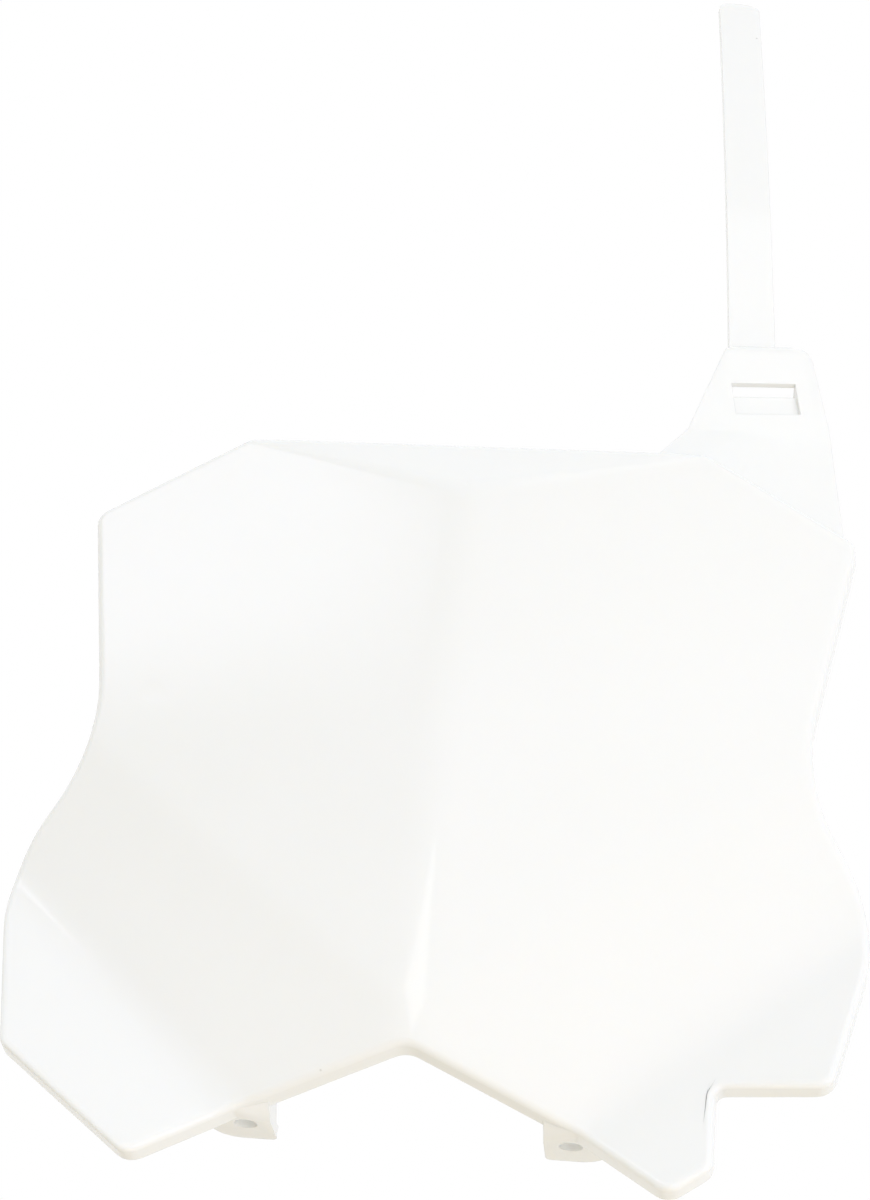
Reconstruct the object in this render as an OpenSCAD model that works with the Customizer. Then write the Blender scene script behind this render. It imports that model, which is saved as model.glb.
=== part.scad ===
// Racing number board for the front of an off-road motorbike, moulded in one piece.
// Frame: X to the viewer's right, Y to the back, Z up. The origin lies midway between
// the two tab holes, on the tabs' undersides, and the board's face looks towards -Y.

/* [Board outline, front view] */
// Width across the hips, the widest part
hip_w = 274; // [262:1:284]
// Height of the hip corners above the tabs
hip_z = 76.5; // [66:0.5:86]
// Width across the waist
waist_w = 222; // [212:1:234]
// Height of the waist
waist_z = 116.5; // [106:1:128]
// Width across the shoulders
shoulder_w = 256; // [246:1:268]
// Height of the shoulders
shoulder_z = 205; // [196:0.5:214]
// Width of the straight top edge
top_w = 154; // [140:1:170]
// Height of the top edge
top_z = 233.5; // [224:0.5:244]
// Width across the lower outer corners of the wings
foot_w = 241.5; // [230:1:254]
// Height of the lower outer corners
foot_z = 12.5; // [6:0.5:22]
// Distance between the two lowest tips
tip_w = 154; // [146:1:168]
// Height of the tips, below the tabs
tip_z = -19.5; // [-30:0.5:-12]
// Distance between the points where the wing folds leave the lower edge
bend_w = 101; // [88:1:110]
// Height of those points
bend_z = 0.2; // [-2:0.1:5]
// Height of the notch in the middle of the lower edge
crotch_z = 18.7; // [15:0.1:22]

/* [Board depth, ahead of the tab holes] */
// Height of the ridge's top end
ridge_top_z = 208; // [198:0.5:214]
// How far the ridge's top end stands ahead
ridge_top_ahead = 33.5; // [28:0.5:39]
// Height at which the upper folds meet the ridge
ridge_foot_z = 27.5; // [25:0.5:33]
// How far the ridge stands ahead there
ridge_foot_ahead = 28; // [24:0.5:33]
// How far the waist corners stand ahead
waist_ahead = 14; // [10:0.5:18]
// How far the hip corners stand ahead
hip_ahead = 1.5; // [-3:0.5:6]
// How far the tips stand ahead
tip_ahead = 23.5; // [18:0.5:29]

/* [Wall] */
// Thickness of the moulded wall
wall = 2.5; // [2:0.1:3]
// Depth of the return wall round the face
skirt_d = 8; // [7:0.5:11]
// Draft of the return wall
draft = 4; // [1:0.5:7]
// Radius of the rounded edge of the face
edge_r = 2.2; // [1.2:0.1:3]
// Radius inside, between the face and the return wall
inner_r = 1.2; // [0.6:0.1:1.5]
// Chamfer on the rear rim
rim_chamfer = 0.4; // [0.2:0.1:0.6]

/* [Softness of folds and corners] */
// Half width of the rounding along the ridge
ridge_soft = 7; // [4:0.5:9]
// Half width of the rounding along the upper folds
fold_soft = 4; // [2:0.5:6]
// Half width of the rounding along the wing folds
wing_soft = 6; // [3:0.5:7]
// Half width of the rounding along the two folds of the top facet
lip_soft = 4; // [2:0.5:5]
// Corner radius at the ends of the top edge
top_r = 6; // [5.5:0.5:12]
// Corner radius at the shoulders
shoulder_r = 5.5; // [5.5:0.5:10]
// Corner radius at the waist
waist_r = 60; // [40:1:75]
// Corner radius at the hips
hip_r = 52; // [40:1:60]
// Corner radius at the lower outer corners
foot_r = 5.5; // [5.5:0.5:8]
// Corner radius at the tips
tip_r = 5.5; // [5.5:0.5:8]
// Corner radius where the wing folds leave the lower edge
bend_r = 20; // [12:1:30]
// Corner radius of the notch in the middle of the lower edge
crotch_r = 10; // [6:1:14]

/* [Hose notch, lower right] */
// Distance of its upright edge from the middle
notch_x = 89; // [85:0.5:101]
// Height of its level edge
notch_z = 16.3; // [10:0.1:20]
// Corner radius inside the notch
notch_r = 3.2; // [1:0.1:4]

/* [Mounting tabs] */
// Distance between the tab holes
hole_pitch = 96; // [92:0.5:100]
// Diameter of each hole
hole_d = 7; // [5:0.1:9]
// Width of each tab
tab_w = 18.9; // [17:0.5:24]
// Thickness of each tab
tab_t = 3.5; // [2.5:0.1:4.5]
// Length of each tab behind its hole
tab_back = 12.5; // [10:0.5:18]
// How much further a tab reaches to the outside than to the inside of its hole
tab_shift = 1.6; // [0:0.1:3]
// Height of the gusset on each tab's inner side
gusset_h = 29; // [20:1:32]
// Distance behind the hole at which the gusset ends
gusset_back = 7; // [2:0.5:9]
// Thickness of the gusset
gusset_t = 2.2; // [1.6:0.1:3]
// Radius of a tab's outer rear corner
tab_r = 9; // [4:0.5:9]
// Distance ahead of the hole at which a tab starts
tab_ahead = 10; // [8:0.5:11]
// Thickness of the web between a tab and the return wall
web_t = 3; // [2:0.1:4]

/* [Neck] */
// Distance of the slot's middle from the middle of the board
slot_x = 96.5; // [92:0.2:100]
// Height of the slot's middle
slot_z = 265.9; // [262:0.5:274]
// How far the neck's face stands ahead at the slot
slot_ahead = 10.5; // [9:0.1:12]
// Turn of the neck to the side, seen from above
neck_sweep = 9; // [7:0.5:12]
// Tilt of neck and strap towards the middle, seen from the front
neck_tilt = 8.2; // [5:0.1:9.5]
// Lean of the neck to the back
neck_lean = 3.5; // [2:0.5:6]
// Height of the crease below the slot's middle
crease_drop = 13.8; // [11:0.5:15]
// Height of the neck's top above the slot's middle
neck_top = 26.2; // [22:0.5:29]
// Width of the neck at its crease
neck_w = 49; // [46:0.5:54]
// Width of the neck at its top, before the corners are rounded
neck_top_w = 28.6; // [27:0.5:34]
// Depth of the neck's return wall
neck_d = 7.5; // [7:0.5:9]
// Radius with which the neck's top rolls back
roll_r = 4.6; // [3.5:0.1:5]
// Thickness of the neck's skin
neck_skin = 2; // [1.6:0.1:2.6]
// Distance of the neck's lower inner corner from the slot's middle
neck_inner = 28.7; // [26:0.1:32]
// Distance of the neck's upper inner corner from the slot's middle
neck_top_inner = 9.8; // [7:0.1:12]
// Corner radius of the neck's top beside the strap
neck_inner_r = 3; // [1:0.5:6]
// Corner radius of the neck's top on the outer side
neck_outer_r = 9; // [5:0.5:12]

/* [Slot and its panel] */
// Width of the slot
slot_w = 22.4; // [19:0.2:24]
// Height of the slot
slot_h = 13.7; // [11:0.1:15]
// Height of the panel's top edge above the slot's lower edge
panel_h = 8.8; // [7:0.1:9.4]
// Distance of the panel behind the neck's face
panel_set = 1.5; // [0.8:0.1:2.5]
// Thickness of the panel and of the cheeks beside it
panel_t = 2; // [1.6:0.1:2.4]

/* [Strap] */
// Turn of the strap away from the neck's own tilt
strap_turn = 6.3; // [4:0.05:8]
// Length of the strap above the neck
strap_len = 200.4; // [160:0.2:210]
// Width at its root
strap_w = 16.4; // [13:0.1:18]
// Width at its tip
strap_tip_w = 16.2; // [13:0.1:18]
// Thickness
strap_t = 2.4; // [1.8:0.1:3]
// Distance of its centre line from the slot's middle, towards the board's middle
strap_off = 0.5; // [0:0.1:3]
// Radius of its gentle curl to the back
strap_curl = 1600; // [900:10:4000]
// Corner radius of its tip
strap_tip_r = 6; // [3:0.5:6]
// Length of the thinned end
strap_bevel = 4; // [2:0.5:8]
// Radius between the strap and the neck's top
strap_root_r = 3; // [1:0.5:4]

/* [Hidden] */
$fn = 64;

// Corners of the board in the front view, right half, as [x, z]
top_c = [top_w / 2, top_z];
shoulder_c = [shoulder_w / 2, shoulder_z];
waist_c = [waist_w / 2, waist_z];
hip_c = [hip_w / 2, hip_z];
foot_c = [foot_w / 2, foot_z];
tip_c = [tip_w / 2, tip_z];
bend_c = [bend_w / 2, bend_z];
crotch_c = [0, crotch_z];

function left_of(c) = [-c.x, c.y];

// Facets. Each is a plane y = a |x| + b z + c, kept as [a, b, c]

function plane_y(f, x, z) = f[0] * x + f[1] * z + f[2];

// Plane through three points given as [x, y, z]
function plane_through(p, q, r) =
    let (
        u = q - p,
        v = r - p,
        det = u.x * v.z - v.x * u.z,
        a = (u.y * v.z - v.y * u.z) / det,
        b = (u.x * v.y - v.x * u.y) / det
    )
    [a, b, p.y - a * p.x - b * p.z];

ridge_top = [0, -ridge_top_ahead, ridge_top_z];
ridge_foot = [0, -ridge_foot_ahead, ridge_foot_z];
waist_p = [waist_c.x, -waist_ahead, waist_c.y];
hip_p = [hip_c.x, -hip_ahead, hip_c.y];
tip_p = [tip_c.x, -tip_ahead, tip_c.y];

upper_facet = plane_through(ridge_foot, ridge_top, waist_p);
lower_facet = plane_through(ridge_foot, waist_p, hip_p);
bend_p = [bend_c.x, plane_y(lower_facet, bend_c.x, bend_c.y), bend_c.y];
wing_facet = plane_through(bend_p, hip_p, tip_p);
top_edge_y = plane_y(upper_facet, top_c.x, top_c.y);
lip_slope = (top_edge_y - ridge_top.y) / (top_z - ridge_top_z);
lip_facet = [0, lip_slope, top_edge_y - lip_slope * top_z];

// Rounds the meeting of two planes over a strip of the given half width
function blend_height(f, g, soft) = soft * norm([f[0] - g[0], f[1] - g[1]]);
function over(a, b, k) = max(a, b) + pow(max(k - abs(a - b), 0), 2) / (4 * k);
function under(a, b, k) = -over(-a, -b, k);

lip_k = blend_height(upper_facet, lip_facet, lip_soft);
fold_k = blend_height(upper_facet, lower_facet, fold_soft);
wing_k = blend_height(lower_facet, wing_facet, wing_soft);

// Distance from the ridge, rounded along the ridge itself
function beside_ridge(x) =
    abs(x) < ridge_soft ? (x * x / ridge_soft + ridge_soft) / 2 : abs(x);

// Front face of the board: its Y at a point of the front view
function face_y(x, z) =
    let (
        d = beside_ridge(x),
        upper = over(plane_y(upper_facet, d, z), plane_y(lip_facet, d, z), lip_k),
        middle = over(upper, plane_y(lower_facet, d, z), fold_k)
    )
    under(middle, plane_y(wing_facet, d, z), wing_k);

// Rounded paths. A path is a list of corners [x, z, radius], of which the first and last
// only give a direction. Lengths along it start at the first corner's arc, and the
// outside of the board is on the right of the travel.

function heading(p, i) = atan2(p[i + 1].y - p[i].y, p[i + 1].x - p[i].x);
function turn(p, i) =
    let (d = heading(p, i) - heading(p, i - 1))
    d > 180 ? d - 360 : d < -180 ? d + 360 : d;
function tangent(p, i) = p[i][2] * tan(abs(turn(p, i)) / 2);
function arc_length(p, i) = p[i][2] * abs(turn(p, i)) * PI / 180;
function flat(c) = [c.x, c.y];
function unit(angle) = [cos(angle), sin(angle)];

// Where the arc of corner i starts, as a length along the path
function arc_start(p, i) =
    i == 1
        ? 0
        : arc_start(p, i - 1) + arc_length(p, i - 1) + norm(flat(p[i]) - flat(p[i - 1]))
            - tangent(p, i - 1) - tangent(p, i);

// Table of [start, end, turn, radius, first point, first heading] for every corner
function arcs(p) = [
    for (i = [1 : len(p) - 2])
        let (s = arc_start(p, i), h = heading(p, i - 1))
        [s, s + arc_length(p, i), turn(p, i), p[i][2], flat(p[i]) - tangent(p, i) * unit(h), h]
];

// Point and heading at length s
function along(table, s) =
    let (
        k = max([for (i = [0 : len(table) - 1]) if (i == 0 || table[i][0] <= s) i]),
        t = table[k],
        side = sign(t[2]),
        bent = min(max(s, t[0]), t[1]) - t[0],
        a = bent / t[3] * 180 / PI * side,
        h = t[5] + a,
        centre = t[4] + t[3] * side * unit(t[5] + 90),
        p = centre - t[3] * side * unit(h + 90)
    )
    [p + (s - t[0] - bent) * unit(h), h];

// The same point, moved inwards by an inset
function inset_point(table, s, inset) =
    let (at = along(table, s))
    at[0] + inset * unit(at[1] + 90);

// Lengths from key to key, in the given numbers of steps
function stations(keys, steps) = [
    keys[0],
    for (k = [0 : len(steps) - 1])
        for (j = [1 : steps[k]])
            keys[k] + (keys[k + 1] - keys[k]) * j / steps[k]
];

function mix(a, b, t) = a + (b - a) * t;
function total(v, i = 0) = i == len(v) ? 0 : v[i] + total(v, i + 1);
function corner(c, r) = [c.x, c.y, r];

// The rounded corners stay wider than the wall behind them
inside_inset = wall + inner_r;
function clear_r(r) = max(r, inside_inset + 0.8);

// Where the notch meets the wing's lower edge and its side
notch_foot_z = tip_c.y + (foot_c.y - tip_c.y) * (notch_x - tip_c.x) / (foot_c.x - tip_c.x);
notch_side_x = foot_c.x + (hip_c.x - foot_c.x) * (notch_z - foot_c.y) / (hip_c.y - foot_c.y);

lower_corners = [
    corner(left_of(bend_c), 0),
    corner(crotch_c, crotch_r),
    corner(bend_c, bend_r),
    corner(tip_c, clear_r(tip_r))
];
upper_corners = [
    corner(hip_c, hip_r),
    corner(waist_c, waist_r),
    corner(shoulder_c, clear_r(shoulder_r)),
    corner(top_c, clear_r(top_r)),
    corner(left_of(top_c), 0)
];
foot_corner = [corner(foot_c, clear_r(foot_r))];
notch_corners = [
    corner([notch_x, notch_foot_z], clear_r(foot_r)),
    corner([notch_x, notch_z], notch_r),
    corner([notch_side_x, notch_z], clear_r(foot_r))
];

plain_half = arcs(concat(lower_corners, foot_corner, upper_corners));
notched_half = arcs(concat(lower_corners, notch_corners, upper_corners));

// Rows of the face run from the inner side to the outer side and are counted upwards.
// The strips over the folds have rows of their own.
strip = 4;
inner_steps = [2, 6, strip, 3, 3, 2, strip, 16, strip, 2];
outer_steps = [2, 3, 3, strip, 3, 2, 3, strip, 3, 5, 4, 4, 6];
top_steps = [2, 2, 3, 7, 2];
plain_foot_steps = [2, 12, 2];
notched_foot_steps = [2, 1, 3, 2, 4, 2, 2];
rows = total(inner_steps);
columns = total(top_steps);
crotch_row = total([for (k = [0 : 4]) inner_steps[k]]);
wing_rows = inner_steps[0] + inner_steps[1];

function middle(arc) = (arc[0] + arc[1]) / 2;

// Half outline: the table of arcs, with the numbers of its corners counted from both ends
function outline(table, foot) = [table, foot];
CROTCH = 0;
BEND = 1;
TIP = 2;
function foot_of(half) = len(half) - 5;
function hip_of(half) = len(half) - 4;
function waist_of(half) = len(half) - 3;
function shoulder_of(half) = len(half) - 2;
function top_of(half) = len(half) - 1;

// Row ends on the lower edge, from the tip in to the middle, as lengths
function lower_row_ends(half) =
    let (bend = middle(half[BEND]))
    stations(
        [
            middle(half[TIP]), half[TIP][0], bend + wing_soft, bend - wing_soft,
            half[CROTCH][1], middle(half[CROTCH])
        ],
        [for (k = [0 : 4]) inner_steps[k]]
    );

// Row ends on the ridge, from the middle of the lower edge up, as heights
function ridge_row_ends(low, high) =
    stations(
        [
            low, ridge_foot_z - fold_soft, ridge_foot_z + fold_soft,
            ridge_top_z - lip_soft, ridge_top_z + lip_soft, high
        ],
        [for (k = [5 : 9]) inner_steps[k]]
    );

// Row ends on the outer side, from the foot up to the top corner, as lengths
function outer_row_ends(half) =
    let (
        foot = half[foot_of(half)],
        hip = half[hip_of(half)],
        waist = half[waist_of(half)],
        shoulder = half[shoulder_of(half)],
        top = half[top_of(half)]
    )
    stations(
        [
            middle(foot), foot[1], hip[0], middle(hip) - wing_soft, middle(hip) + wing_soft,
            hip[1], waist[0], middle(waist) - fold_soft, middle(waist) + fold_soft,
            waist[1], shoulder[0], shoulder[1], top[0], middle(top)
        ],
        outer_steps
    );

// Column ends on the top edge, from the middle out to the top corner, as lengths
function top_column_ends(half) =
    let (
        top = half[top_of(half)],
        centre = top[1] + top_w / 2 - tangent_of(top)
    )
    stations(
        [
            centre, centre - ridge_soft / 2, centre - ridge_soft, centre - 3 * ridge_soft,
            top[1], middle(top)
        ],
        top_steps
    );
function tangent_of(arc) = arc[3] * tan(abs(arc[2]) / 2);

// Column ends on the foot's edge, from the tip out, as lengths
function foot_column_ends(half, notched) =
    let (foot = half[foot_of(half)])
    notched
        ? stations(
            [
                middle(half[TIP]), half[TIP][1], half[3][0], half[3][1], half[4][0],
                half[4][1], foot[0], middle(foot)
            ],
            notched_foot_steps
        )
        : stations([middle(half[TIP]), half[TIP][1], foot[0], middle(foot)], plain_foot_steps);

function points_at(half, lengths, inset) = [for (s = lengths) inset_point(half, s, inset)];

// Front view of one half as a grid of rows and columns at an inset from its outline
function plan(half, notched, inset) =
    let (
        lower = points_at(half, lower_row_ends(half), inset),
        ridge = [
            for (z = ridge_row_ends(lower[crotch_row].y, top_z - inset)) [0, z]
        ],
        inner = concat(lower, [for (i = [1 : len(ridge) - 1]) ridge[i]]),
        outer = points_at(half, outer_row_ends(half), inset),
        foot = points_at(half, foot_column_ends(half, notched), inset),
        top = points_at(half, top_column_ends(half), inset),
        span = [for (p = top) p.x / top[columns].x]
    )
    [
        for (i = [0 : rows])
            let (
                near_foot = i < wing_rows ? 1 - part_way(inner, outer, 0, i, wing_rows) : 0,
                near_top = i > rows - 2 ? 1 - part_way(inner, outer, rows, i, rows - 2) : 0
            )
            [
                for (j = [0 : columns])
                    let (
                        straight = mix(inner[i], outer[i], span[j]),
                        foot_pull = foot[j] - mix(inner[0], outer[0], span[j]),
                        top_pull = top[j] - mix(inner[rows], outer[rows], span[j])
                    )
                    i == 0 ? foot[j]
                        : i == rows ? top[j]
                        : j == 0 ? inner[i]
                        : j == columns ? outer[i]
                        : straight + foot_pull * near_foot + top_pull * near_top
            ]
    ];

// How far row i has come on the way from row a to row b, from 0 to 1
function part_way(inner, outer, a, i, b) =
    norm(mix(inner[i], outer[i], 0.6) - mix(inner[a], outer[a], 0.6))
        / norm(mix(inner[b], outer[b], 0.6) - mix(inner[a], outer[a], 0.6));

// The grid's points in space, for one side, at a depth behind the face
function sheet(half, side, notched, inset, depth) = [
    for (row = plan(half, notched, inset))
        for (p = row)
            [side * p.x + 0, face_y(p.x, p.y) + depth, p.y]
];

// Order of the edge points of one half, from the middle of the lower edge round to the top
edge_walk = concat(
    [for (i = [crotch_row : -1 : 1]) [i, 0]],
    [for (j = [0 : columns - 1]) [0, j]],
    [for (i = [0 : rows - 1]) [i, columns]],
    [for (j = [columns : -1 : 1]) [rows, j]]
);
grid_size = (rows + 1) * (columns + 1);
function grid_index(side, i, j) =
    i * (columns + 1) + j + (side < 0 && !(j == 0 && i >= crotch_row) ? grid_size : 0);
loop_index = concat(
    [for (w = edge_walk) grid_index(1, w[0], w[1])],
    [grid_index(1, rows, 0)],
    [for (k = [len(edge_walk) - 1 : -1 : 1]) grid_index(-1, edge_walk[k][0], edge_walk[k][1])]
);

// Lengths of the edge points of one half, in the order of the walk
function edge_lengths(half, notched) =
    let (
        lower = lower_row_ends(half),
        foot = foot_column_ends(half, notched),
        outer = outer_row_ends(half),
        top = top_column_ends(half)
    )
    [
        for (w = edge_walk)
            w[1] == 0 && w[0] > 0 && w[0] <= crotch_row ? lower[w[0]]
                : w[0] == 0 && w[1] < columns ? foot[w[1]]
                : w[1] == columns && w[0] < rows ? outer[w[0]]
                : top[w[1]]
    ];

// Closed ring of edge points, at an inset and a depth
function ring(inset, depth) =
    let (
        right = points_at(notched_half, edge_lengths(notched_half, true), inset),
        left = points_at(plain_half, edge_lengths(plain_half, false), inset),
        loop = concat(
            right,
            [[0, top_z - inset]],
            [for (k = [len(left) - 1 : -1 : 1]) left_of(left[k])]
        )
    )
    [for (p = loop) [p.x, face_y(p.x, p.y) + depth, p.y]];

// Section of the return wall, as [inset, depth], from the face round the rim to the inside
flare = (skirt_d - edge_r) * tan(draft);
round_steps = 4;
section = concat(
    [for (a = [1 : round_steps]) edge_r * [1 - sin(90 * a / round_steps), 1 - cos(90 * a / round_steps)]],
    [
        [-flare, skirt_d - rim_chamfer],
        [rim_chamfer - flare, skirt_d],
        [wall - flare, skirt_d]
    ],
    [for (a = [0 : round_steps - 2])
        let (t = 90 * a / (round_steps - 1))
        [wall + inner_r * (1 - cos(t)), wall + inner_r * (1 - sin(t))]]
);

// Face, return wall and hollow back as one closed surface
module shell() {
    front = concat(
        sheet(notched_half, 1, true, edge_r, 0),
        sheet(plain_half, -1, false, edge_r, 0)
    );
    back = concat(
        sheet(notched_half, 1, true, inside_inset, wall),
        sheet(plain_half, -1, false, inside_inset, wall)
    );
    rings = [for (c = section) each ring(c[0], c[1])];
    n = len(loop_index);
    m = len(section);
    first_ring = 2 * grid_size;
    first_back = first_ring + n * m;

    // Point k of layer l, where layer 0 is the face's edge and layer m + 1 the back's
    function on_wall(l, k) =
        l == 0 ? loop_index[k % n]
            : l == m + 1 ? first_back + loop_index[k % n]
            : first_ring + (l - 1) * n + k % n;
    function halves(a, b, c, d) = [[a, b, c], [a, c, d]];
    function grid_faces(base, side, flip) = [
        for (i = [0 : rows - 1])
            for (j = [0 : columns - 1])
                let (
                    a = base + grid_index(side, i, j),
                    b = base + grid_index(side, i + 1, j),
                    c = base + grid_index(side, i + 1, j + 1),
                    d = base + grid_index(side, i, j + 1)
                )
                each side * flip > 0 ? halves(a, b, c, d) : halves(d, c, b, a)
    ];
    polyhedron(
        points = concat(front, rings, back),
        faces = concat(
            grid_faces(0, 1, 1),
            grid_faces(0, -1, 1),
            [
                for (l = [0 : m])
                    for (k = [0 : n - 1])
                        each halves(on_wall(l, k), on_wall(l, k + 1), on_wall(l + 1, k + 1), on_wall(l + 1, k))
            ],
            grid_faces(first_back, 1, -1),
            grid_faces(first_back, -1, -1)
        ),
        convexity = 6
    );
}

// Tabs, seen from above on the right side. Each runs from the hollow of the wing to the back
tab_in = hole_pitch / 2 - tab_w / 2 + tab_shift;
tab_out = tab_in + tab_w;
tab_front = -tab_ahead;

function inside_y(x, z) = face_y(x, z) + wall / 2;
function lower_edge_z(x) = mix(crotch_c.y, bend_c.y, x / bend_c.x);

module tab_plan() {
    front_x = bend_c.x - 2;
    deep_x = bend_c.x + 2;
    difference() {
        hull() {
            translate([tab_in + 2, tab_back - 2]) circle(r = 2, $fn = 24);
            translate([tab_out - tab_r, tab_back - tab_r]) circle(r = tab_r);
            translate([tab_in, tab_front]) square([tab_w, 2]);
            translate([deep_x, inside_y(deep_x, tab_t / 2)]) square([0.5, 2]);
            translate([tab_out - 0.5, inside_y(tab_out, tab_t / 2)]) square([0.5, 2]);
        }
        polygon([
            [tab_in - 1, tab_front], [front_x, tab_front], [deep_x, inside_y(deep_x, tab_t / 2)],
            [deep_x, -40], [tab_in - 1, -40]
        ]);
    }
}

// Slope under a tab's front, so that it meets the rim without a step
module tab_slope() {
    end_x = bend_c.x + 0.5;
    low_in = lower_edge_z(tab_in);
    low_end = max(lower_edge_z(end_x), 0.1);
    hull() {
        for (p = [[tab_in - 1, low_in], [end_x, low_end]])
            translate([p.x, 0, 0]) rotate([90, 0, 90]) linear_extrude(0.01)
                polygon([[tab_front - 9, -1], [tab_front - 9, p.y], [tab_front, p.y], [tab_front + 2 * p.y + 2, -1]]);
    }
}

module tab() {
    difference() {
        whole_tab();
        tab_slope();
    }
}

module whole_tab() {
    difference() {
        linear_extrude(tab_t) tab_plan();
        translate([hole_pitch / 2, 0, -1]) cylinder(d = hole_d, h = tab_t + 2);
    }
    // Web that closes the space between the tab and the return wall above it
    rotate([90, 0, 0]) translate([0, 0, -tab_front - web_t]) linear_extrude(web_t) polygon([
        [tab_in, 0], [bend_c.x, 0], [bend_c.x, bend_c.y + wall], [tab_in, lower_edge_z(tab_in) + wall / 2]
    ]);
    // Gusset on the tab's inner side, from the face's inside down to the tab
    low_z = lower_edge_z(tab_in) + wall / 2;
    translate([tab_in, 0, 0]) rotate([90, 0, 90]) linear_extrude(gusset_t)
        polygon([
            [gusset_back, tab_t / 2], [tab_front, tab_t / 2], [tab_front, low_z],
            [inside_y(tab_in, low_z), low_z], [inside_y(tab_in, gusset_h), gusset_h],
            [gusset_back, tab_t]
        ]);
}

// Neck. It is laid out flat, with X across, Z up and Y to the back, round the slot's middle

module on_neck() {
    translate([slot_x, -slot_ahead, slot_z]) rotate([0, 0, neck_sweep])
        rotate([-neck_lean, 0, 0]) rotate([0, -neck_tilt, 0]) children();
}

// A point of the part, seen in that layout
function in_neck(p) =
    let (
        d = p - [slot_x, -slot_ahead, slot_z],
        a = [d.x * cos(neck_sweep) + d.y * sin(neck_sweep), d.y * cos(neck_sweep) - d.x * sin(neck_sweep), d.z],
        b = [a.x, a.y * cos(neck_lean) - a.z * sin(neck_lean), a.y * sin(neck_lean) + a.z * cos(neck_lean)]
    )
    [b.x * cos(neck_tilt) + b.z * sin(neck_tilt), b.y, b.z * cos(neck_tilt) - b.x * sin(neck_tilt)];

// Corners of the neck as [x, z]
crease_l = [-neck_inner, -crease_drop];
crease_r = [crease_l.x + neck_w, -crease_drop];
neck_top_l = [-neck_top_inner, neck_top];
neck_top_r = [neck_top_l.x + neck_top_w, neck_top];

// The neck grows out of the board along these points, kept inside its return wall
function root(x, z, behind) = in_neck([x, face_y(x, z) + behind, z]);
function shoulder_line(x) = mix(top_z, shoulder_z, (x - top_c.x) / (shoulder_c.x - top_c.x));
root_l = root(top_c.x - 16, top_z - wall, 0.2);
root_m = root(top_c.x - 2, top_z - wall, 0.9);
root_r = root(shoulder_c.x - 4.2, shoulder_line(shoulder_c.x - 4.2) - wall - 0.4, 2.4);

neck_columns = 12;
neck_rise = [
    -2, -0.5, 0.5,
    for (a = [0 : 15 : 90]) neck_top + crease_drop - neck_outer_r * (1 - sin(a))
];

// How much a corner of radius r draws the edge in, at a distance below the top
function drawn_in(r, below) = below < r ? r - sqrt(r * r - (r - below) * (r - below)) : 0;

function neck_point(row, column, skin, inset) =
    let (
        t = column / neck_columns,
        edge = min(column, neck_columns - column) == 0 ? 1 : 0,
        crease = mix(crease_l, crease_r, t) + [inset * (1 - 2 * t), 0],
        foot = t < 1 / 3 ? mix(root_l, root_m, 3 * t) : mix(root_m, root_r, 1.5 * t - 0.5),
        low = [foot.x + inset * (1 - 2 * t), foot.y, foot.z + inset * 1.2],
        rise = row < 3 ? 0 : neck_rise[row] * (neck_top + crease_drop - inset) / (neck_top + crease_drop),
        below = neck_top + crease_drop - inset - rise,
        part = rise / (neck_top + crease_drop),
        left = mix(crease_l.x, neck_top_l.x, part) + inset + drawn_in(neck_inner_r, below),
        right = mix(crease_r.x, neck_top_r.x, part) - inset - drawn_in(neck_outer_r, below)
    )
    row == 0 ? [low.x, low.y + skin, low.z]
        : row == 1 ? [mix(crease.x, low.x, 0.15), mix(0, low.y, 0.11) + skin, mix(crease.y, low.z, 0.15)]
        : row == 2 ? [crease.x, mix(0, low.y, 0.02) + skin, crease.y]
        : [mix(left, right, t), drawn_in(roll_r, below) * (skin > 0 ? 0.6 : 1) + edge * 0.6 + skin, rise - crease_drop];

neck_rows = len(neck_rise) - 1;

// Block of the neck between its face and its back. The hollow is the same block, set in
module neck_block(inset, front, back) {
    n = neck_columns + 1;
    grid = [for (i = [0 : neck_rows]) for (j = [0 : neck_columns]) [i, j]];
    fore = [for (g = grid) neck_point(g[0], g[1], front, inset)];
    aft = [for (p = fore) [p.x, min(p.y, 0) * 0.5 + back, p.z]];
    m = len(grid);
    border = concat(
        [for (j = [0 : neck_columns - 1]) j],
        [for (i = [0 : neck_rows - 1]) i * n + neck_columns],
        [for (j = [neck_columns : -1 : 1]) neck_rows * n + j],
        [for (i = [neck_rows : -1 : 1]) i * n]
    );
    b = len(border);
    polyhedron(
        points = concat(fore, aft),
        faces = concat(
            [for (i = [0 : neck_rows - 1]) for (j = [0 : neck_columns - 1])
                let (a = i * n + j) each [[a, a + n, a + n + 1], [a, a + n + 1, a + 1]]],
            [for (i = [0 : neck_rows - 1]) for (j = [0 : neck_columns - 1])
                let (a = m + i * n + j) each [[a, a + n + 1, a + n], [a, a + 1, a + n + 1]]],
            [for (k = [0 : b - 1])
                let (p = border[k], q = border[(k + 1) % b]) each [[p, q, m + q], [p, m + q, m + p]]]
        ),
        convexity = 4
    );
}

// Section through the slot as [y, z]. A panel stands behind its lower part
slot_low = -slot_h / 2;
panel_top = [panel_set, slot_low + panel_h];
panel_back = panel_set + panel_t;

module across(width) {
    translate([-width / 2, 0, 0]) rotate([90, 0, 90]) linear_extrude(width) children();
}

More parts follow.
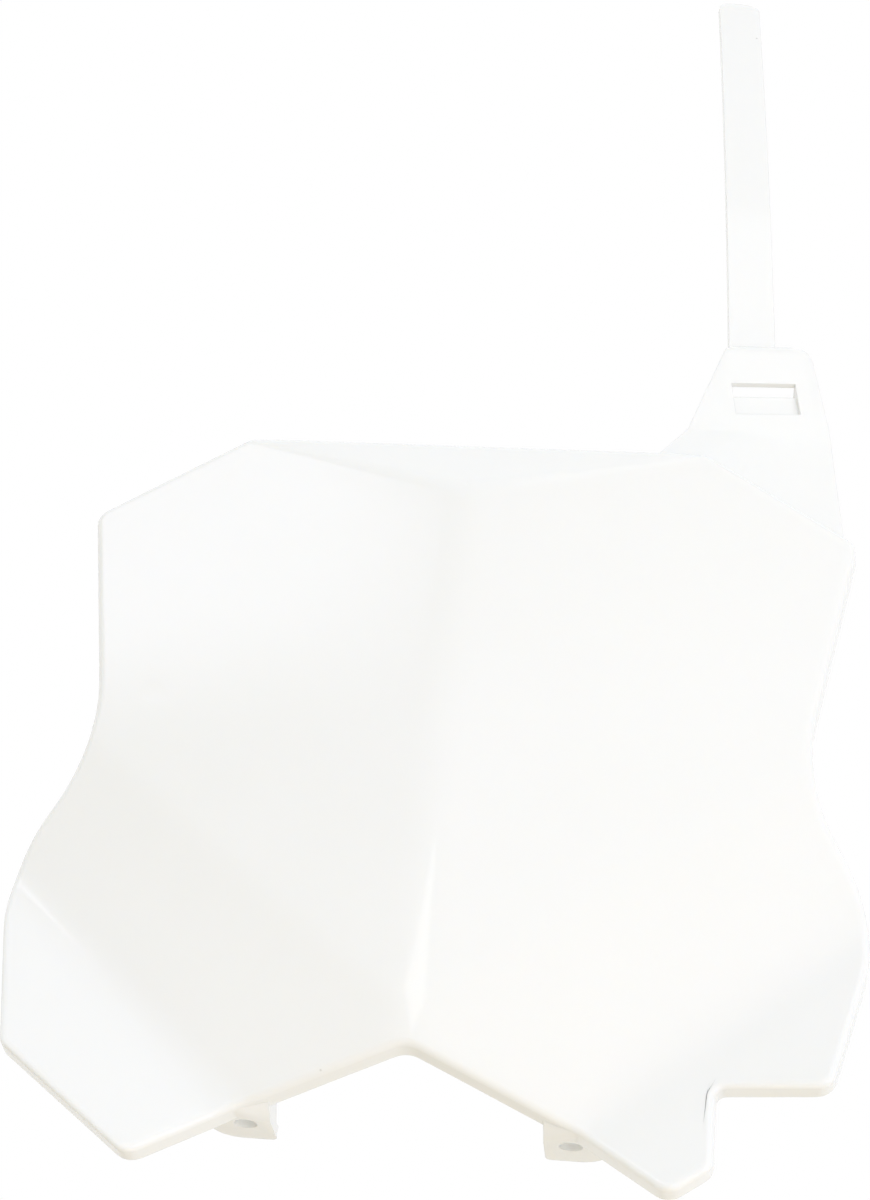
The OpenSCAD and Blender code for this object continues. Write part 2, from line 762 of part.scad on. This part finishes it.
module neck() {
    difference() {
        union() {
            difference() {
                neck_block(0, 0, neck_d);
                neck_block(neck_skin, neck_skin, neck_d + 4);
            }
            // Cheeks and panel behind the slot
            across(slot_w + 2 * panel_t) polygon([
                [neck_skin / 2, slot_low - 2], [neck_skin / 2, -slot_low + 2],
                [neck_skin, -slot_low + 2], [neck_skin, -slot_low], [neck_d - 1, panel_top.y + 1],
                [neck_d - 1, panel_top.y - 3], [panel_back, slot_low - 2]
            ]);
        }
        across(slot_w) polygon([
            [-3, slot_low], [panel_set, slot_low], panel_top, [panel_back, panel_top.y],
            [panel_back, slot_low - 2.4], [neck_d + 3, slot_low - 2.4], [neck_d + 3, -slot_low],
            [-3, -slot_low]
        ]);
    }
}

// Strap, laid out in the neck's frame: its outline seen from the front and its side view
strap_foot = neck_top - 5;

module strap_outline() {
    top = neck_top + strap_len;
    half = strap_w / 2;
    tip = strap_tip_w / 2;
    hull() {
        translate([-half, strap_foot]) square([strap_w, 1]);
        for (side = [-1, 1]) translate([side * (tip - strap_tip_r), top - strap_tip_r]) circle(r = strap_tip_r);
    }
    // Rounded root on the side where the neck is wider
    difference() {
        translate([half - 1, strap_foot]) square([strap_root_r + 1, neck_top - strap_foot + strap_root_r]);
        translate([half + strap_root_r, neck_top + strap_root_r]) circle(r = strap_root_r);
    }
}

function curl(z) = pow(z - strap_foot, 2) / (2 * strap_curl);

module strap_side() {
    top = neck_top + strap_len;
    bend = top - strap_bevel;
    front = roll_r + 0.3;
    steps = 10;
    zs = [for (k = [0 : steps]) mix(strap_foot, bend, k / steps)];
    polygon(concat(
        [for (z = zs) [front + curl(z), z]],
        [[front + curl(top) + strap_t * 0.55, top + 1], [front + curl(top) + strap_t, top + 1]],
        [for (k = [steps : -1 : 0]) [front + curl(zs[k]) + strap_t, zs[k]]]
    ));
}

module strap() {
    translate([-strap_off, 0, 0]) translate([0, 0, neck_top]) rotate([0, strap_turn, 0]) translate([0, 0, -neck_top]) intersection() {
        rotate([90, 0, 0]) translate([0, 0, -40]) linear_extrude(60) strap_outline();
        across(60) strap_side();
    }
}

module number_board() {
    shell();
    tab();
    mirror([1, 0, 0]) tab();
    on_neck() {
        neck();
        strap();
    }
}

color("white") number_board();
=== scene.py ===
"""Racing number board: a one-piece moulding in gloss white plastic, under soft studio light."""
import math

import bmesh
import bpy
from mathutils import Matrix, Quaternion, Vector


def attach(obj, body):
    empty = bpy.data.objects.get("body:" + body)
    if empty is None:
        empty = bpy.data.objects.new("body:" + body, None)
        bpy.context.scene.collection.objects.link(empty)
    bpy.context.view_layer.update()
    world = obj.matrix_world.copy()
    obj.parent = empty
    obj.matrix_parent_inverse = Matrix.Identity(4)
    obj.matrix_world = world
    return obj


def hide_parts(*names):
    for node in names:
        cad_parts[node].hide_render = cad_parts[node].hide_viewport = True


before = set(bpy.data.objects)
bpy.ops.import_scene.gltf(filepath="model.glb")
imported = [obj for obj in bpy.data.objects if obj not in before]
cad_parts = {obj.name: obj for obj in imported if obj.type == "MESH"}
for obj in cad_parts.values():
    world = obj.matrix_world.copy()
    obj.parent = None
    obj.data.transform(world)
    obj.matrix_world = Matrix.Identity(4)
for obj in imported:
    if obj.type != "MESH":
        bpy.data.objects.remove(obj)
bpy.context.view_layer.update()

MM = 0.001
PURE_WHITE = (1.0, 1.0, 1.0, 1.0)

# A Mix node has its two colours and their mixture on these sockets
COLOUR_A = 6
COLOUR_B = 7
COLOUR_OUT = 2


def linear(hex_colour):
    """An sRGB hex value as linear red, green, blue and alpha."""
    parts = [int(hex_colour[i:i + 2], 16) / 255 for i in (1, 3, 5)]
    return [p / 12.92 if p <= 0.04045 else ((p + 0.055) / 1.055) ** 2.4 for p in parts] + [1.0]


def node(tree, kind, links=None, **settings):
    """Adds a shader node. Settings go to its properties, links to its inputs by name or number."""
    new = tree.nodes.new(kind)
    for name, value in settings.items():
        setattr(new, name, value)
    for socket, value in (links or {}).items():
        target = new.inputs[socket]
        if isinstance(value, bpy.types.NodeSocket):
            tree.links.new(value, target)
        else:
            target.default_value = value
    return new


# The moulding

# Points nearer than this are one point, and an edge that turns less than this is shaded smooth
MERGE_MM = 0.002
CRISP_DEGREES = 34


def moulding_from(name):
    """A merged copy of a CAD node, shaded smooth over its rounded edges and soft folds."""
    source = bpy.data.objects[name]
    bm = bmesh.new()
    bm.from_mesh(source.data)
    bmesh.ops.remove_doubles(bm, verts=bm.verts, dist=MERGE_MM * MM)
    for face in bm.faces:
        face.smooth = True
    crisp = math.radians(CRISP_DEGREES)
    for edge in bm.edges:
        edge.smooth = len(edge.link_faces) == 2 and edge.calc_face_angle() < crisp
    mesh = bpy.data.meshes.new("moulded_board")
    bm.to_mesh(mesh)
    bm.free()
    board = bpy.data.objects.new("moulded_board", mesh)
    bpy.context.collection.objects.link(board)
    weighted = board.modifiers.new("even_facets", "WEIGHTED_NORMAL")
    weighted.keep_sharp = True
    weighted.weight = 100
    return board


# Gloss white plastic

# Injection-moulded polypropylene, moulded white right through. It has a soft gloss, a faint
# orange peel, a slow drift of tone where the melt flowed, fine rubbing scuffs and dust.
IOR = 1.49
WHITE = "#F6F6F5"
WHITE_WARM = "#F3F3F0"
FLOW_MM = 90.0

# Light goes a little way into the plastic, and red goes furthest
GLOW_SHARE = 0.3
GLOW_MM = 1.6
GLOW_BY_COLOUR = (1.0, 0.92, 0.8)

# Dust specks, with their core and rim as shares of their spacing
DUST = "#8C8478"
DUST_SHARE = 0.36
SPECK_SPACING_MM = 26.0
SPECK_CORE = 0.008
SPECK_RIM = 0.022

# Scuffs are drawn out along the way that a cloth goes over the face
SCUFF_MM = 1.6
SCUFF_STRETCH = 9.0
SCUFF_SLANT = math.radians(32)
SCUFF_FAINT = 0.45
SCUFF_STRONG = 0.8
ROUGHNESS_CLEAN = 0.06
ROUGHNESS_SCUFFED = 0.10

# Orange peel and the slow waves of a cooled moulding, with their depths
PEEL_MM = 5.0
PEEL_DEPTH_MM = 0.010
WAVE_MM = 55.0
WAVE_DEPTH_MM = 0.12

# Faint round sink marks on the face, as x and z
SINKS = ((-96, 135), (-3, 142), (88, 128))
SINK_RADIUS_MM = 4.5
SINK_FLOOR_RADIUS_MM = 1.8
SINK_DEPTH_MM = 0.035

# Its crisp edges are broken by this much
EDGE_MM = 0.45


def dusty_white(tree, place):
    """White that drifts a little in tone, with a few specks of dust."""
    flow = node(tree, "ShaderNodeTexNoise", {
        "Vector": place, "Scale": 1 / (FLOW_MM * MM), "Detail": 3.0, "Roughness": 0.5})
    tone = node(tree, "ShaderNodeMix", {
        "Factor": flow.outputs["Fac"], COLOUR_A: linear(WHITE), COLOUR_B: linear(WHITE_WARM)},
        data_type="RGBA")
    cells = node(tree, "ShaderNodeTexVoronoi", {
        "Vector": place, "Scale": 1 / (SPECK_SPACING_MM * MM), "Randomness": 1.0})
    speck = node(tree, "ShaderNodeMapRange", {
        "Value": cells.outputs["Distance"], "From Min": SPECK_CORE, "From Max": SPECK_RIM,
        "To Min": DUST_SHARE, "To Max": 0.0})
    dusty = node(tree, "ShaderNodeMix", {
        "Factor": speck.outputs["Result"], COLOUR_A: tone.outputs[COLOUR_OUT], COLOUR_B: linear(DUST)},
        data_type="RGBA")
    return dusty.outputs[COLOUR_OUT]


def rubbed_gloss(tree, place):
    """A soft gloss, duller along fine scuffs."""
    long_way = node(tree, "ShaderNodeMapping", {
        "Vector": place, "Rotation": (0.0, SCUFF_SLANT, 0.0), "Scale": (1.0, 1.0, SCUFF_STRETCH)})
    scuff = node(tree, "ShaderNodeTexNoise", {
        "Vector": long_way.outputs["Vector"], "Scale": 1 / (SCUFF_MM * MM) / SCUFF_STRETCH,
        "Detail": 5.0, "Roughness": 0.7})
    rub = node(tree, "ShaderNodeMapRange", {
        "Value": scuff.outputs["Fac"], "From Min": SCUFF_FAINT, "From Max": SCUFF_STRONG,
        "To Min": ROUGHNESS_CLEAN, "To Max": ROUGHNESS_SCUFFED})
    return rub.outputs["Result"]


def moulded_relief(tree, place):
    """Orange peel, slow waves, sink marks and broken edges. Heights are in millimetres."""
    peel = node(tree, "ShaderNodeTexNoise", {
        "Vector": place, "Scale": 1 / (PEEL_MM * MM), "Detail": 1.5, "Roughness": 0.45})
    wave = node(tree, "ShaderNodeTexNoise", {
        "Vector": place, "Scale": 1 / (WAVE_MM * MM), "Detail": 1.0, "Roughness": 0.4})
    height = node(tree, "ShaderNodeMath", {
        0: peel.outputs["Fac"], 1: PEEL_DEPTH_MM}, operation="MULTIPLY")
    height = node(tree, "ShaderNodeMath", {
        0: wave.outputs["Fac"], 1: WAVE_DEPTH_MM, 2: height.outputs[0]}, operation="MULTIPLY_ADD")
    flat = node(tree, "ShaderNodeVectorMath", {
        0: place, 1: (1.0, 0.0, 1.0)}, operation="MULTIPLY")
    for x, z in SINKS:
        away = node(tree, "ShaderNodeVectorMath", {
            0: flat.outputs[0], 1: (x * MM, 0.0, z * MM)}, operation="DISTANCE")
        dip = node(tree, "ShaderNodeMapRange", {
            "Value": away.outputs["Value"],
            "From Min": SINK_FLOOR_RADIUS_MM * MM, "From Max": SINK_RADIUS_MM * MM,
            "To Min": -SINK_DEPTH_MM, "To Max": 0.0}, interpolation_type="SMOOTHSTEP")
        height = node(tree, "ShaderNodeMath", {
            0: height.outputs[0], 1: dip.outputs["Result"]}, operation="ADD")
    broken_edge = node(tree, "ShaderNodeBevel", {"Radius": EDGE_MM * MM}, samples=6)
    relief = node(tree, "ShaderNodeBump", {
        "Height": height.outputs[0], "Distance": MM, "Strength": 1.0,
        "Normal": broken_edge.outputs[0]})
    return relief.outputs["Normal"]


def moulded_white():
    material = bpy.data.materials.new("moulded_white_polypropylene")
    material.use_nodes = True
    tree = material.node_tree
    tree.nodes.clear()
    place = node(tree, "ShaderNodeTexCoord").outputs["Object"]
    skin = node(tree, "ShaderNodeBsdfPrincipled", {
        "Base Color": dusty_white(tree, place),
        "Roughness": rubbed_gloss(tree, place),
        "Normal": moulded_relief(tree, place),
        "IOR": IOR,
        "Subsurface Weight": GLOW_SHARE,
        "Subsurface Radius": GLOW_BY_COLOUR,
        "Subsurface Scale": GLOW_MM * MM,
    })
    node(tree, "ShaderNodeOutputMaterial", {"Surface": skin.outputs[0]})
    return material


board = moulding_from("number_board")
board.data.materials.append(moulded_white())
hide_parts("number_board")
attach(board, "root")


# The studio floor

# Distances are in metres. The floor's colour is painted darker to the left of the board, as painted
# shade. Far from the board it turns into the white background.
FLOOR_Z = -0.72
FLOOR_REACH = 9.0
FLOOR_PAINTED_SHADE = "#DDD4C4"
FLOOR_LIT = "#EFEBE1"
PAINTED_SHADE_BEFORE_X = -0.9
PAINTED_SHADE_ENDS_AFTER_X = 0.1
FADE_START = 1.3
FADE_END = 4.0


def seen_or_mirrored(tree):
    """One where the background is seen straight, in a reflection or through something clear."""
    path = node(tree, "ShaderNodeLightPath").outputs
    seen = node(tree, "ShaderNodeMath", {
        0: path["Is Camera Ray"], 1: path["Is Glossy Ray"]}, operation="MAXIMUM")
    seen = node(tree, "ShaderNodeMath", {
        0: seen.outputs[0], 1: path["Is Transmission Ray"]}, operation="MAXIMUM")
    return seen.outputs[0]


def matt_pale_paint():
    """Matt paint, warm and pale, with painted shade to the left, that fades to white in the distance.
    """
    material = bpy.data.materials.new("pale_studio_floor")
    material.use_nodes = True
    tree = material.node_tree
    tree.nodes.clear()
    place = node(tree, "ShaderNodeTexCoord").outputs["Object"]
    across = node(tree, "ShaderNodeSeparateXYZ", {"Vector": place}).outputs["X"]
    # Painted shade: the floor's colour darkens towards the left of the board
    clear_of_painted_shade = node(tree, "ShaderNodeMapRange", {
        "Value": across, "From Min": PAINTED_SHADE_BEFORE_X, "From Max": PAINTED_SHADE_ENDS_AFTER_X},
        interpolation_type="SMOOTHSTEP")
    tone = node(tree, "ShaderNodeMix", {
        "Factor": clear_of_painted_shade.outputs["Result"],
        COLOUR_A: linear(FLOOR_PAINTED_SHADE), COLOUR_B: linear(FLOOR_LIT)}, data_type="RGBA")
    matt = node(tree, "ShaderNodeBsdfDiffuse", {"Color": tone.outputs[COLOUR_OUT]})
    reach = node(tree, "ShaderNodeVectorMath", {0: place}, operation="LENGTH")
    far = node(tree, "ShaderNodeMapRange", {
        "Value": reach.outputs["Value"], "From Min": FADE_START, "From Max": FADE_END},
        interpolation_type="SMOOTHSTEP")
    fades = node(tree, "ShaderNodeMath", {
        0: far.outputs["Result"], 1: seen_or_mirrored(tree)}, operation="MULTIPLY")
    white = node(tree, "ShaderNodeEmission", {"Color": PURE_WHITE, "Strength": 1.0})
    mixed = node(tree, "ShaderNodeMixShader", {
        0: fades.outputs[0], 1: matt.outputs[0], 2: white.outputs[0]})
    node(tree, "ShaderNodeOutputMaterial", {"Surface": mixed.outputs[0]})
    return material


def pale_floor():
    bm = bmesh.new()
    bmesh.ops.create_grid(bm, x_segments=1, y_segments=1, size=FLOOR_REACH)
    bmesh.ops.translate(bm, verts=bm.verts, vec=(0, 0, FLOOR_Z))
    mesh = bpy.data.meshes.new("floor")
    bm.to_mesh(mesh)
    bm.free()
    floor = bpy.data.objects.new("floor", mesh)
    bpy.context.collection.objects.link(floor)
    floor.data.materials.append(matt_pale_paint())


pale_floor()


# The studio light

LIGHT_BELOW = "#A49F94"
LIGHT_LEVEL = "#F2F7F9"
LIGHT_ABOVE = "#FAFBFC"

# The light behind the board is weaker. It falls off between these two sines of the angle.
LIGHT_BEHIND = 0.6
BEHIND_FROM = 0.1
BEHIND_TO = 0.9

# Across a softbox, one is its full width. Its middle is evenly lit as far out as this.
CLOTH_EVEN = 0.25
CLOTH_RIM = 0.5

# Where the lamps look
BOARD_MIDDLE = Vector((0, -0.02, 0.16))
NECK_MIDDLE = Vector((0.096, 0.0, 0.30))
LOWER_EDGE = Vector((0.03, -0.02, 0.02))


def studio_world():
    """Faintly cool light from all round, dimmer and warmer from below, and weaker from behind."""
    world = bpy.data.worlds.new("studio")
    bpy.context.scene.world = world
    world.use_nodes = True
    tree = world.node_tree
    tree.nodes.clear()
    direction = node(tree, "ShaderNodeTexCoord").outputs["Generated"]
    parts = node(tree, "ShaderNodeSeparateXYZ", {"Vector": direction})
    up = node(tree, "ShaderNodeMapRange", {
        "Value": parts.outputs["Z"], "From Min": -1.0, "From Max": 1.0})
    shade = node(tree, "ShaderNodeValToRGB", {"Fac": up.outputs["Result"]})
    ramp = shade.color_ramp
    ramp.elements[0].color = linear(LIGHT_BELOW)
    ramp.elements[1].color = linear(LIGHT_ABOVE)
    middle = ramp.elements.new(0.5)
    middle.color = linear(LIGHT_LEVEL)
    away = node(tree, "ShaderNodeMapRange", {
        "Value": parts.outputs["Y"], "From Min": BEHIND_FROM, "From Max": BEHIND_TO,
        "To Min": 1.0, "To Max": LIGHT_BEHIND}, interpolation_type="SMOOTHSTEP")
    light = node(tree, "ShaderNodeBackground", {
        "Color": shade.outputs["Color"], "Strength": away.outputs["Result"]})
    white = node(tree, "ShaderNodeBackground", {"Color": PURE_WHITE, "Strength": 1.0})
    mixed = node(tree, "ShaderNodeMixShader", {
        0: seen_or_mirrored(tree), 1: light.outputs[0], 2: white.outputs[0]})
    node(tree, "ShaderNodeOutputWorld", {"Surface": mixed.outputs[0]})


def faded_rim(tree):
    """A softbox's cloth is brightest in its middle and fades towards its rim."""
    place = node(tree, "ShaderNodeNewGeometry").outputs["Parametric"]
    flat = node(tree, "ShaderNodeVectorMath", {
        0: place, 1: (1.0, 1.0, 0.0)}, operation="MULTIPLY")
    away = node(tree, "ShaderNodeVectorMath", {
        0: flat.outputs[0], 1: (0.5, 0.5, 0.0)}, operation="DISTANCE")
    fade = node(tree, "ShaderNodeMapRange", {
        "Value": away.outputs["Value"], "From Min": CLOTH_EVEN, "From Max": CLOTH_RIM,
        "To Min": 1.0, "To Max": 0.0}, interpolation_type="SMOOTHSTEP")
    glow = node(tree, "ShaderNodeEmission", {"Strength": fade.outputs["Result"]})
    node(tree, "ShaderNodeOutputLight", {"Surface": glow.outputs[0]})


def softbox(name, azimuth, elevation, distance, width, height, power, colour="#FFFFFF", spin=0,
            aim=BOARD_MIDDLE, spread=180, faded=False):
    """A rectangular light that looks at its aim. Azimuth 0 is straight ahead of the board."""
    a = math.radians(azimuth)
    e = math.radians(elevation)
    towards = Vector((math.sin(a) * math.cos(e), -math.cos(a) * math.cos(e), math.sin(e)))
    data = bpy.data.lights.new(name, "AREA")
    data.shape = "RECTANGLE"
    data.size = width
    data.size_y = height
    data.energy = power
    data.color = linear(colour)[:3]
    data.spread = math.radians(spread)
    if faded:
        data.use_nodes = True
        data.node_tree.nodes.clear()
        faded_rim(data.node_tree)
    lamp = bpy.data.objects.new(name, data)
    lamp.visible_camera = False
    lamp.location = aim + towards * distance
    facing = (-towards).to_track_quat("-Z", "Y") @ Quaternion((0, 0, 1), math.radians(spin))
    lamp.rotation_euler = facing.to_euler()
    bpy.context.collection.objects.link(lamp)


studio_world()

# The main light, low on the right
softbox("key_right", azimuth=52, elevation=-12, distance=1.6, width=1.2, height=0.9,
        power=6.15, colour="#E2E0F4")
# The bright wedge on the ridge between the facets
softbox("ridge_window", azimuth=-2, elevation=9.5, distance=1.8, width=0.42, height=0.58,
        power=1.0, spin=32)
# A weak reflection in the upper facets
softbox("upper_window", azimuth=20, elevation=50, distance=1.8, width=0.57, height=0.47,
        power=0.45, colour="#F4F6FF")
# A cool reflection that fades across the upper left facet
softbox("left_panel", azimuth=-41.5, elevation=31.0, distance=1.8, width=1.16, height=0.60,
        power=4.4, colour="#E4E8FF", faded=True)
# Warm light that bounces up onto the return wall along the lower edge
softbox("bounce_below", azimuth=30, elevation=-72, distance=0.36, width=0.2, height=0.16,
        power=0.15, colour="#FFEED2", aim=LOWER_EDGE)
# A touch of light on the neck, from below
softbox("neck_fill", azimuth=-4, elevation=-68, distance=0.7, width=0.12, height=0.12,
        power=0.0028, colour="#FFFFF6", aim=NECK_MIDDLE, spread=16)


# The camera

# The photograph is 870 by 1200 pixels. The camera stands low, a little to the right, and
# looks up at the board, and is rolled a little. Angles are in degrees.
FOCAL_PX = 2321.4
FRAME_PX = 1200
SENSOR_MM = 36.0
NEAREST_MM = 10.0
EYE = Vector((85.7, -652.9, -226.1)) * MM
YAW = 8.405
PITCH = 31.926
ROLL = 6.928


def low_camera():
    yaw = math.radians(YAW)
    pitch = math.radians(PITCH)
    roll = math.radians(ROLL)
    forward = Vector((-math.sin(yaw) * math.cos(pitch), math.cos(yaw) * math.cos(pitch),
                      math.sin(pitch)))
    level = Vector((math.cos(yaw), math.sin(yaw), 0))
    upright = level.cross(forward)
    right = level * math.cos(roll) + upright * math.sin(roll)
    up = upright * math.cos(roll) - level * math.sin(roll)
    data = bpy.data.cameras.new("camera")
    data.sensor_fit = "AUTO"
    data.sensor_width = SENSOR_MM
    data.lens = FOCAL_PX / FRAME_PX * SENSOR_MM
    data.clip_start = NEAREST_MM * MM
    camera = bpy.data.objects.new("camera", data)
    bpy.context.collection.objects.link(camera)
    turn = Matrix((right, up, -forward)).transposed().to_4x4()
    camera.matrix_world = Matrix.Translation(EYE) @ turn
    bpy.context.scene.camera = camera


low_camera()
bpy.context.scene.view_settings.view_transform = "Standard"
